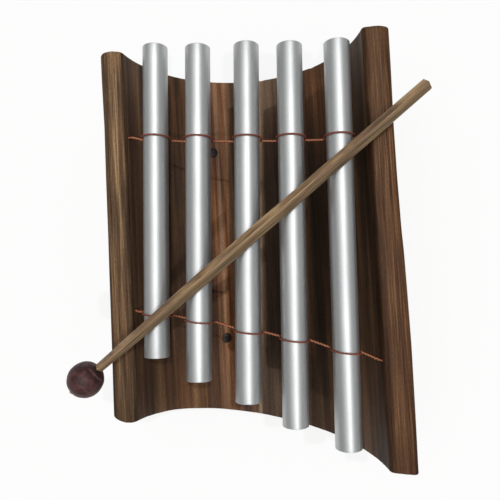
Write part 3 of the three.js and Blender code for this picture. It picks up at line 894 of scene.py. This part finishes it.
# Blackened steel: dark, low sheen, finely speckled
def blackSteel():
    material, tree = newMaterial("black-oxide steel screw")
    grit = addNode(tree, "TexNoise", {
        "Vector": grainPlace(tree), "Scale": 1800, "Detail": 3, "Roughness": 0.6,
    }).outputs["Fac"]
    ramp = addNode(tree, "ValToRGB", {"Fac": grit})
    colour = setStops(ramp, ((0.35, "#1d1a18"), (0.55, "#342e2a"), (0.75, "#5a4f47")))
    rough = addNode(tree, "MapRange", {"Value": grit, "To Min": 0.35, "To Max": 0.65})
    return finishMaterial(material, grit, 0.3, 0.08, {
        "Base Color": colour, "Metallic": 0.75, "Roughness": rough.outputs[0],
    })


# The head is a dome with a rounded edge, h = dome (1 - (r/R)^2), less a cross of two slots; below it the
# head narrows to the shank. Rings of the same angles run from the middle of the head to the tip.
def screwShape(head, away, turn):
    angle = anglesRound(screw["sides"])
    full = screw["head"] / 2
    radius = np.linspace(0, full - screw["rim"], screw["rings"])[:, None] * np.ones(screw["sides"])
    height = screw["dome"] * (1 - (radius / full) ** 2)
    sides = radius * np.cos(angle), radius * np.sin(angle)
    half, soft = screw["slotWidth"] / 2, screw["slotEdge"]
    for first, second in (sides, sides[::-1]):
        inSlot = easeBetween(half + soft, half - soft, np.abs(first))
        inReach = easeBetween(screw["slotReach"], screw["slotReach"] - screw["slotEnd"], np.abs(second))
        height = np.minimum(height, screw["dome"] - screw["slotDepth"] * inSlot * inReach + (1 - inSlot) * mm)
    edge = np.radians(np.linspace(0, 90, 5))[1:]
    lip = screw["dome"] * (1 - ((full - screw["rim"]) / full) ** 2)
    shank, end = screw["shank"] / 2, -screw["length"]
    lower = np.concatenate([
        np.stack([full - screw["rim"] * (1 - np.sin(edge)), lip - screw["rim"] * (1 - np.cos(edge))], axis=1),
        [(shank, -screw["sink"]), (shank, end + screw["shank"]), (screw["tip"], end)],
    ])
    radius = np.vstack([radius, lower[:, :1] + 0 * angle])[..., None]
    height = np.vstack([height, lower[:, 1:] + 0 * angle])[..., None]
    side = np.array([0, 1, 0])
    spin = (angle + turn)[:, None]
    points = head - height * away + radius * (side * np.cos(spin) + np.cross(away, side) * np.sin(spin))
    rows, columns = radius.shape[:2]
    faces = gridFaces(rows, columns, True) + [np.arange((rows - 1) * columns, rows * columns)[None]]
    return points.reshape(-1, 3), faces


steel = blackSteel()
for number, (node, (head, away)) in enumerate(sorted(screwPlaces.items())):
    thing = addObject("dark_" + node, *screwShape(head, away, 0.5 + 0.9 * number))
    dress(thing, steel, "dark_screw", node)
    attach(thing, "root")
print("screws set")


# Feet

foot = {
    "seatGap": 0.3 * mm,
    "corner": 1.6 * mm,
    "edge": 0.9 * mm,      # rounding of the two long edges
}


# Hardwood, stained like the bamboo: fine straight grain along the foot, satin
def stainedWood():
    material, tree = newMaterial("stained hardwood")
    pores = addNode(tree, "TexNoise", {
        "Vector": grainPlace(tree, (0.03, 1, 1)), "Scale": 1400, "Detail": 3, "Roughness": 0.6,
    }).outputs["Fac"]
    rings = addNode(tree, "TexWave", {
        "Vector": grainPlace(tree, (0.06, 1, 1), (0, 0.02, 0)), "Scale": 70, "Distortion": 5, "Detail": 2,
        "Detail Scale": 1.2,
    }, bands_direction="Z")
    both = addNode(tree, "Mix", {0: 0.35, 2: pores, 3: rings.outputs["Fac"]})
    ramp = addNode(tree, "ValToRGB", {"Fac": both.outputs[0]})
    colour = setStops(ramp, ((0.2, "#3a261a"), (0.5, "#5f4230"), (0.8, "#7b5940")))
    return finishMaterial(material, pores, 0.35, 0.2, {"Base Color": colour, "Roughness": 0.55, "IOR": 1.5})


# The foot's outline in (x, z): the cradle's arc, two rounded shoulders, the sides and the base
def footOutline(low, high):
    radius = outerRadius + foot["seatGap"]
    angle = np.arcsin(halfWidth(radius, high.z) / radius)
    arc = np.linspace(-angle, angle, 80)
    seat = np.stack([radius * np.sin(arc), axisZ - radius * np.cos(arc)], axis=1)
    half = (high.x - low.x) / 2
    c = foot["corner"]
    right = np.concatenate([
        roundCorner((half - c, high.z), (half, high.z), (half, high.z - c), 7),
        roundCorner((half, low.z + c), (half, low.z), (half - c, low.z), 7),
    ])
    return np.concatenate([seat, right, right[::-1] * (-1, 1)])


# The outline carried along Y with rounded ends: near an end it shrinks along its normal by r(1 - sin t)
def footShape(node):
    low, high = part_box(node)
    outline = footOutline(low, high)
    inward = outwardOf(outline)    # it runs clockwise
    bend = np.radians(np.linspace(0, 90, 5))
    rows = [(foot["edge"] * (1 - np.sin(t)), low.y + foot["edge"] * (1 - np.cos(t))) for t in bend]
    rows += [(foot["edge"] * (1 - np.sin(t)), high.y - foot["edge"] * (1 - np.cos(t))) for t in bend[::-1]]
    rings = []
    for inset, y in rows:
        flat = outline + inset * inward
        rings.append(np.stack([flat[:, 0] + (low.x + high.x) / 2, np.full(len(flat), y), flat[:, 1]], axis=1))
    return np.concatenate(rings), tubeFaces(len(rings), len(outline))


wood = stainedWood()
for node in ("foot_front", "foot_rear"):
    thing = addObject("wood_" + node, *footShape(node), 35)
    dress(thing, wood, "foot_wood", node)
    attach(thing, "root")
print("feet shaped")


# Sounding tubes

tube = {
    "wall": 1.2 * mm,
    "outerEdge": 0.35 * mm,    # deburred edges
    "innerEdge": 0.25 * mm,
    "sides": 96,
    "steps": 26,
}


# Drawn aluminium, blasted fine: a soft wide highlight and a fine speckle, a little grey from handling
def satinAluminium():
    material, tree = newMaterial("satin blasted aluminium")
    speckle = addNode(tree, "TexNoise", {
        "Vector": grainPlace(tree, (1, 0.6, 1)), "Scale": 2400, "Detail": 3, "Roughness": 0.6,
    }).outputs["Fac"]
    cloud = addNode(tree, "TexNoise", {
        "Vector": grainPlace(tree, (1, 0.3, 1)), "Scale": 60, "Detail": 3, "Roughness": 0.55,
    }).outputs["Fac"]
    both = addNode(tree, "Mix", {0: 0.5, 2: speckle, 3: cloud}).outputs[0]
    colour = setStops(addNode(tree, "ValToRGB", {"Fac": both}), ((0.35, "#bcbebe"), (0.65, "#d0d2d2")))
    rough = addNode(tree, "MapRange", {
        "Value": both, "From Min": 0.35, "From Max": 0.65, "To Min": 0.55, "To Max": 0.47,
    })
    return finishMaterial(material, speckle, 0.2, 0.03, {
        "Base Color": colour, "Metallic": 1.0, "Roughness": rough.outputs[0],
    })


# A tube is a closed profile (radius, distance along) turned round the axis: outside, rounded end, bore, end
def tubeShape(index):
    low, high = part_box(f"tube_{index + 1}")
    axis = tubeAxes[index]
    half = (high.y - low.y - 2 * tubeRadius * axis[0]) / axis[1] / 2
    inner = tubeRadius - tube["wall"]
    o, i = tube["outerEdge"], tube["innerEdge"]
    front = np.concatenate([
        roundCorner((inner, -half + i), (inner, -half), (inner + i, -half), 5),
        roundCorner((tubeRadius - o, -half), (tubeRadius, -half), (tubeRadius, -half + o), 6),
    ])
    stretch = np.linspace(-half + o, half - o, tube["steps"])[1:-1]
    outside = np.stack([np.full(len(stretch), tubeRadius), stretch], axis=1)
    bore = np.stack([np.full(len(stretch), inner), stretch[::-1]], axis=1)
    profile = np.concatenate([front, outside, front[::-1] * (1, -1), bore, front[:1]])
    side, up = np.cross(axis, (0, 0, 1)), np.array([0, 0, 1])
    path = tubeMiddles[index] + profile[:, 1:] * axis
    rings = ringsRound(path, side, up, profile[:, None, :1], tube["sides"])
    return rings.reshape(-1, 3), gridFaces(len(rings), tube["sides"], True)


aluminium = satinAluminium()
for index in range(tubeCount):
    name = f"tube_{index + 1}"
    thing = addObject("satin_" + name, *tubeShape(index), 30)
    dress(thing, aluminium, "satin_aluminium", name)
    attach(thing, name)
print("tubes turned")


# Mallet

mallet = {
    "beforeFrontCord": 4.5 * mm,    # where the stick crosses the shortest tube
    "beforeRearCord": 16.3 * mm,    # where it crosses the longest tube
    "ballReach": 53.6 * mm,
    "gap": 0.3 * mm,
    "length": 282.2 * mm,
    "tip": 12.7 * mm,
    "stations": ((-12.7, 5.2, 4.8), (100, 9, 7), (269.5, 7.6, 6.2)),   # mm: place, width and height
    "edge": 0.8 * mm,
    "ridge": 0.8 * mm,
    "sides": 64,
    "steps": 220,
    "tipShrink": (0.62, 0.7, 0.85, 0.96),    # the short end is cut blunt
    "endShrink": (0.985, 0.93),
    # flat knife cuts and fibres: noise seed, height and length in mm, and how many go round
    "cuts": ((51, 0.16, 22, 1.6), (52, 0.05, 18, 9)),
    "planed": 0.18,          # mm: how far the cuts lie below the outline
    # the pinkish facet is partly painted light and the olive one partly painted shade
    "facet": (-1.6 * mm, -0.8 * mm),    # places aside between which the olive facet turns pinkish
}
firstRest = middleOf("cord_front_loop_1")[:2] - mallet["beforeFrontCord"] * tubeAxes[0][:2]
lastRest = middleOf(f"cord_rear_loop_{tubeCount}")[:2] - mallet["beforeRearCord"] * tubeAxes[-1][:2]
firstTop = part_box("cord_front_loop_1")[1].z + mallet["gap"]
lastTop = tubeHigh.z + mallet["gap"]
span = np.linalg.norm(lastRest - firstRest)
flatAim = (lastRest - firstRest) / span
tilt = np.arctan2(firstTop - lastTop, span)
stickAhead = np.array([*(np.cos(tilt) * flatAim), -np.sin(tilt)])
stickAside = np.array([-flatAim[1], flatAim[0], 0])
stickUp = np.cross(stickAhead, stickAside)
stickFrame = np.stack([stickAhead, stickAside, stickUp])
stickStart = np.array([*(firstRest - mallet["ballReach"] * flatAim),
                       firstTop + mallet["ballReach"] * np.tan(tilt)])


def stickSize(at):
    places, widths, heights = np.array(mallet["stations"]).T * mm
    return np.interp(at, places, widths), np.interp(at, places, heights)


# The stick's section, an eight-cornered outline with softened corners, as (aside, up) round the loop
def stickSection(at, count):
    width, height = stickSize(at)
    half, edge, ridge = width / 2, mallet["edge"], mallet["ridge"] / 2
    corners = np.array([
        (-(half - edge), 0), (half - edge, 0), (half, edge), (half, height / 2),
        (ridge, height), (-ridge, height), (-half, height / 2), (-half, edge),
    ])
    loop = evenly(np.concatenate([corners, corners[:1]]), count + 1)[:-1]
    for _ in range(2):
        loop = 0.25 * np.roll(loop, 1, axis=0) + 0.5 * loop + 0.25 * np.roll(loop, -1, axis=0)
    return loop


# Whittled bamboo: fine straight fibres, pinkish on one facet and darker olive on the other, partly their own
# hues and partly painted light and painted shade on the sides turned to and from the light; thin varnish
def whittledBamboo():
    material, tree = newMaterial("whittled bamboo stick")
    along, around, facet = [
        addNode(tree, "Attribute", attribute_name=name).outputs["Fac"]
        for name in ("along", "around", "facet")
    ]
    place = addNode(tree, "CombineXYZ", {"X": along, "Y": around, "Z": 0.0})
    stretched = addNode(tree, "Mapping", {"Vector": place.outputs[0], "Scale": (0.02, 1, 1)}).outputs[0]
    fine = addNode(tree, "TexNoise", {"Vector": stretched, "Scale": 1900, "Detail": 3, "Roughness": 0.6})
    medium = addNode(tree, "TexNoise", {"Vector": stretched, "Scale": 600, "Detail": 2, "Roughness": 0.5})
    both = addNode(tree, "Mix", {0: 0.35, 2: fine.outputs["Fac"], 3: medium.outputs["Fac"]}).outputs[0]
    pinkAndLitRamp = addNode(tree, "ValToRGB", {"Fac": both})
    pinkAndLit = setStops(pinkAndLitRamp, ((0.4, "#5f462f"), (0.5, "#85694a"), (0.6, "#a98b63")))
    oliveAndShadedRamp = addNode(tree, "ValToRGB", {"Fac": both})
    oliveAndShaded = setStops(oliveAndShadedRamp, ((0.4, "#453623"), (0.5, "#685238"), (0.6, "#8a7250")))
    colour = addNode(tree, "Mix", {0: facet, 6: oliveAndShaded, 7: pinkAndLit}, data_type="RGBA")
    return finishMaterial(material, both, 0.4, 0.15, {
        "Base Color": colour.outputs[2], "Roughness": 0.5, "IOR": 1.5,
    })


def stickShape():
    tip, end = -mallet["tip"], mallet["length"] - mallet["tip"]
    places = np.concatenate([
        [tip, tip + 0.25 * mm], np.linspace(tip + 1 * mm, end - 0.6 * mm, mallet["steps"]),
        [end - 0.15 * mm, end],
    ])
    shrink = np.ones((len(places), 1, 1))
    shrink[:len(mallet["tipShrink"]), 0, 0] = mallet["tipShrink"]
    shrink[-len(mallet["endShrink"]):, 0, 0] = mallet["endShrink"]
    rings = np.array([stickSection(place, mallet["sides"]) for place in places])
    centre = rings.mean(axis=1, keepdims=True)
    outward = unit(rings - centre)
    at = places[:, None] + np.zeros(mallet["sides"])
    cuts, fibres = [
        height * smoothNoise(seed, at / (long * mm), count * outward[..., 0], count * outward[..., 1])
        for seed, height, long, count in mallet["cuts"]
    ]
    depth = mm * (cuts + fibres - mallet["planed"])
    rings = (rings - centre) * shrink + centre + depth[..., None] * outward
    points = stickStart + np.concatenate([at[..., None], rings], axis=-1) @ stickFrame
    return points.reshape(-1, 3), tubeFaces(*at.shape)


stick = addObject("whittled_stick", *stickShape(), 50)
alongStick, asideStick, upStick = stickFrame @ (pointsOf(stick) - stickStart).T
setAttribute(stick, "along", alongStick)
setAttribute(stick, "around", asideStick + upStick)
setAttribute(stick, "facet", easeBetween(*mallet["facet"], asideStick))
dress(stick, whittledBamboo(), "whittled_bamboo", "mallet_stick")
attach(stick, "mallet")

ball = {
    "dents": 0.28 * mm,
    "shoulder": 4.6 * mm,    # radius where the ball turns in to its hole
    "room": 0.15 * mm,       # between the stick and the hole
    "holeShare": 1.04,       # the hole's width as a share of the stick's, before the room
    "sides": 192,
    "rings": 150,
    # directions from the middle are given along the stick, aside and up
    # painted shade where the ball meets the stick: its middle and half width
    "shadedSide": (0.94, -0.31, 0.17),
    "shadedWidth": 0.4,        # half width of the darker side, as a share of the radius
    "lumps": ((61, 1, 2.2), (62, 0.5, 5.5)),    # noise seed, share of the dents, and how many to a radius
    # a raised edge, the hollow beside it and a crease: height in mm, half width as a share of the radius,
    # and places
    "marks": (
        (0.12, 0.03, ((0.82, 0.21, 0.54), (0.84, -0.13, 0.53), (0.81, -0.42, 0.41), (0.76, -0.65, 0.09))),
        (-0.14, 0.1, ((0.76, 0.08, 0.65), (0.74, -0.24, 0.63), (0.7, -0.44, 0.56), (0.68, -0.64, 0.36))),
        (-0.12, 0.05, ((0.11, 0.4, 0.91), (0.11, 0.16, 0.98), (0.08, -0.12, 0.99), (0.14, -0.28, 0.95))),
    ),
}
centreUp = stickSize(0)[1] / 2
ballCentre = stickStart + centreUp * stickUp


# Dark red-brown rubber: matt and uneven, with painted shade in its hollow and crease and where it meets the
# stick, and a painted highlight along its raised edge
def darkRubber():
    material, tree = newMaterial("dark red-brown rubber")
    lumps = addNode(tree, "TexNoise", {
        "Vector": grainPlace(tree), "Scale": 260, "Detail": 4, "Roughness": 0.6,
    })
    grit = addNode(tree, "TexNoise", {
        "Vector": grainPlace(tree), "Scale": 2200, "Detail": 2, "Roughness": 0.5,
    })
    ramp = addNode(tree, "ValToRGB", {"Fac": lumps.outputs["Fac"]})
    colour = setStops(ramp, ((0.3, "#2a1715"), (0.5, "#432624"), (0.7, "#603b37")))
    # the dark tint is painted shade and the light one a painted highlight
    for name, tint in (("creaseAndSideShade", "#211415"), ("edge", "#7c615a")):
        share = addNode(tree, "Attribute", attribute_name=name).outputs["Fac"]
        colour = addNode(tree, "Mix", {0: share, 6: colour, 7: hexColour(tint)}, data_type="RGBA").outputs[2]
    return finishMaterial(material, grit.outputs["Fac"], 0.3, 0.1, {
        "Base Color": colour, "Roughness": 0.5, "IOR": 1.5, "Specular IOR Level": 0.3,
    })


# Bell-shaped weight of one mark: by the least distance from points to the line through its places
def markAt(points, width, places):
    places = np.array(places)
    nearest = np.full(points.shape[:-1], np.inf)
    for a, b in zip(places[:-1], places[1:]):
        t = np.clip(((points - a) @ (b - a)) / ((b - a) @ (b - a)), 0, 1)
        nearest = np.minimum(nearest, np.linalg.norm(points - a - t[..., None] * (b - a), axis=-1))
    return bell(nearest / width)


# The ball is turned round the stick: rings of radius R sin t round its axis, opened at both poles to the
# stick's own section, and joined there by the bore
def ballShape():
    low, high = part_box("mallet_ball")
    radius = (high.z - low.z) / 2
    angle = anglesRound(ball["sides"])
    loop = stickSection(0, 256) - (0, centreUp)
    loopAngle = np.arctan2(loop[:, 1], loop[:, 0]) % (2 * np.pi)
    order = np.argsort(loopAngle)
    opening = np.interp(angle, loopAngle[order], np.linalg.norm(loop, axis=1)[order], period=2 * np.pi)
    opening = opening * ball["holeShare"] + ball["room"]
    near = opening + (ball["shoulder"] - opening) * np.linspace(0, 1, 8)[:-1, None]
    pole = np.arcsin(ball["shoulder"] / radius)
    polar = np.linspace(pole, np.pi - pole, ball["rings"])[:, None]
    out = np.vstack([near, radius * np.sin(polar) + 0 * angle, near[::-1]])
    height = np.sqrt(radius ** 2 - near ** 2)
    along = np.vstack([-height, -radius * np.cos(polar) + 0 * angle, height[::-1]])
    direction = np.stack([along, out * np.cos(angle), out * np.sin(angle)], axis=-1) / radius
    bumps = sum(share * smoothNoise(seed, *np.moveaxis(count * direction + 5, -1, 0))
                for seed, share, count in ball["lumps"])
    depth = ball["dents"] * (0.5 * bumps - 0.75)
    for raised, *mark in ball["marks"]:
        depth = depth + raised * mm * markAt(direction, *mark)
    local = direction * np.minimum(radius + depth, radius)[..., None]
    bore = np.linspace(local[-1], local[0], 6)[1:-1]
    rings = np.concatenate([local, bore, local[:1]])
    return (ballCentre + rings @ stickFrame).reshape(-1, 3), gridFaces(len(rings), ball["sides"], True)


thing = addObject("mallet_head", *ballShape(), 50)
direction = unit((pointsOf(thing) - ballCentre) @ stickFrame.T)
edge, hollow, crease = [markAt(direction, *mark) for _, *mark in ball["marks"]]
shadedSide = bell(np.linalg.norm(direction - np.array(ball["shadedSide"]), axis=1) / ball["shadedWidth"])
# painted shade in the hollow and crease and beside the stick
setAttribute(thing, "creaseAndSideShade", np.clip(0.5 * (hollow + crease) + 0.6 * shadedSide, 0, 1))
# painted highlight along the raised edge
setAttribute(thing, "edge", 0.5 * edge)
dress(thing, darkRubber(), "ball_rubber", "mallet_ball")
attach(thing, "mallet")
print("mallet whittled")


# Stage: a plain pale floor, two lamps and a soft grey sky

stage = {
    "floor": "#f2f2f1",
    "whiteness": 0.8,        # how much of the floor that the camera sees is plain white
    "rearLamp": {"from": (0.25, 0.30, 1), "strength": 0.9, "size": 1.1},      # size in degrees
    "frontLamp": {"from": (0.25, -0.40, 1), "strength": 0.75, "size": 1.1},
    "sky": 0.33,
    "horizon": 0.31,
    "overhead": 1.4,         # a soft bright patch above
    "overheadFrom": (-0.12, 0.12, 0.985),
    "overheadEdge": (0.86, 0.98),    # cosines of the angles at which the patch begins and is full
    "horizonBand": (0.05, 0.35),     # sines of the heights between which the horizon turns to sky
    "floorHalf": 20,         # metres
    "lampReach": 2,          # metres; a sun's place changes nothing in the light
}


def paleFloor():
    material, tree = newMaterial("pale floor")
    matt = addNode(tree, "BsdfPrincipled", {
        "Base Color": hexColour(stage["floor"]), "Roughness": 0.9, "Specular IOR Level": 0.1,
    })
    path = addNode(tree, "LightPath").outputs
    seen = addNode(tree, "Math", {0: path["Is Camera Ray"], 1: path["Is Glossy Ray"]}, operation="ADD")
    seen = addNode(tree, "Math", {0: seen.outputs[0], 1: path["Is Transmission Ray"]}, operation="ADD")
    share = addNode(tree, "Math", {0: seen.outputs[0], 1: stage["whiteness"]}, operation="MULTIPLY")
    white = addNode(tree, "Emission", {"Color": (1, 1, 1, 1), "Strength": 1.0})
    both = addNode(tree, "MixShader", {0: share.outputs[0], 1: matt.outputs["BSDF"], 2: white.outputs[0]})
    addNode(tree, "OutputMaterial", {"Surface": both.outputs[0]})
    return material


half = stage["floorHalf"]
corners = [(-half, -half, 0), (half, -half, 0), (half, half, 0), (-half, half, 0)]
floor = addObject("floor", corners, [np.arange(4)[None]])
floor.data.materials.append(paleFloor())

for name in ("rearLamp", "frontLamp"):
    lamp = bpy.data.lights.new(name, "SUN")
    lamp.energy = stage[name]["strength"]
    lamp.angle = np.radians(stage[name]["size"])
    thing = bpy.data.objects.new(name, lamp)
    thing.rotation_euler = Vector(stage[name]["from"]).to_track_quat("Z", "Y").to_euler()
    thing.location = Vector(stage[name]["from"]).normalized() * stage["lampReach"]
    bpy.context.scene.collection.objects.link(thing)

world = bpy.data.worlds.new("soft sky")
bpy.context.scene.world = world
world.use_nodes = True
sky = world.node_tree
sky.nodes.clear()
place = addNode(sky, "TexCoord").outputs["Generated"]
upward = addNode(sky, "SeparateXYZ", {0: place}).outputs["Z"]
height = addNode(sky, "MapRange", {
    "Value": upward, "From Min": stage["horizonBand"][0], "From Max": stage["horizonBand"][1],
    "To Min": stage["horizon"], "To Max": stage["sky"],
})
facing = addNode(sky, "VectorMath", {0: place, 1: stage["overheadFrom"]}, operation="DOT_PRODUCT")
overhead = addNode(sky, "MapRange", {
    "Value": facing.outputs["Value"], "From Min": stage["overheadEdge"][0],
    "From Max": stage["overheadEdge"][1], "To Max": stage["overhead"],
}, interpolation_type="SMOOTHSTEP")
strength = addNode(sky, "Math", {0: height.outputs[0], 1: overhead.outputs[0]}, operation="ADD")
background = addNode(sky, "Background", {"Color": (1, 1, 1, 1), "Strength": strength.outputs[0]})
addNode(sky, "OutputWorld", {"Surface": background.outputs[0]})

bpy.context.scene.view_settings.view_transform = "Standard"
print("stage lit")
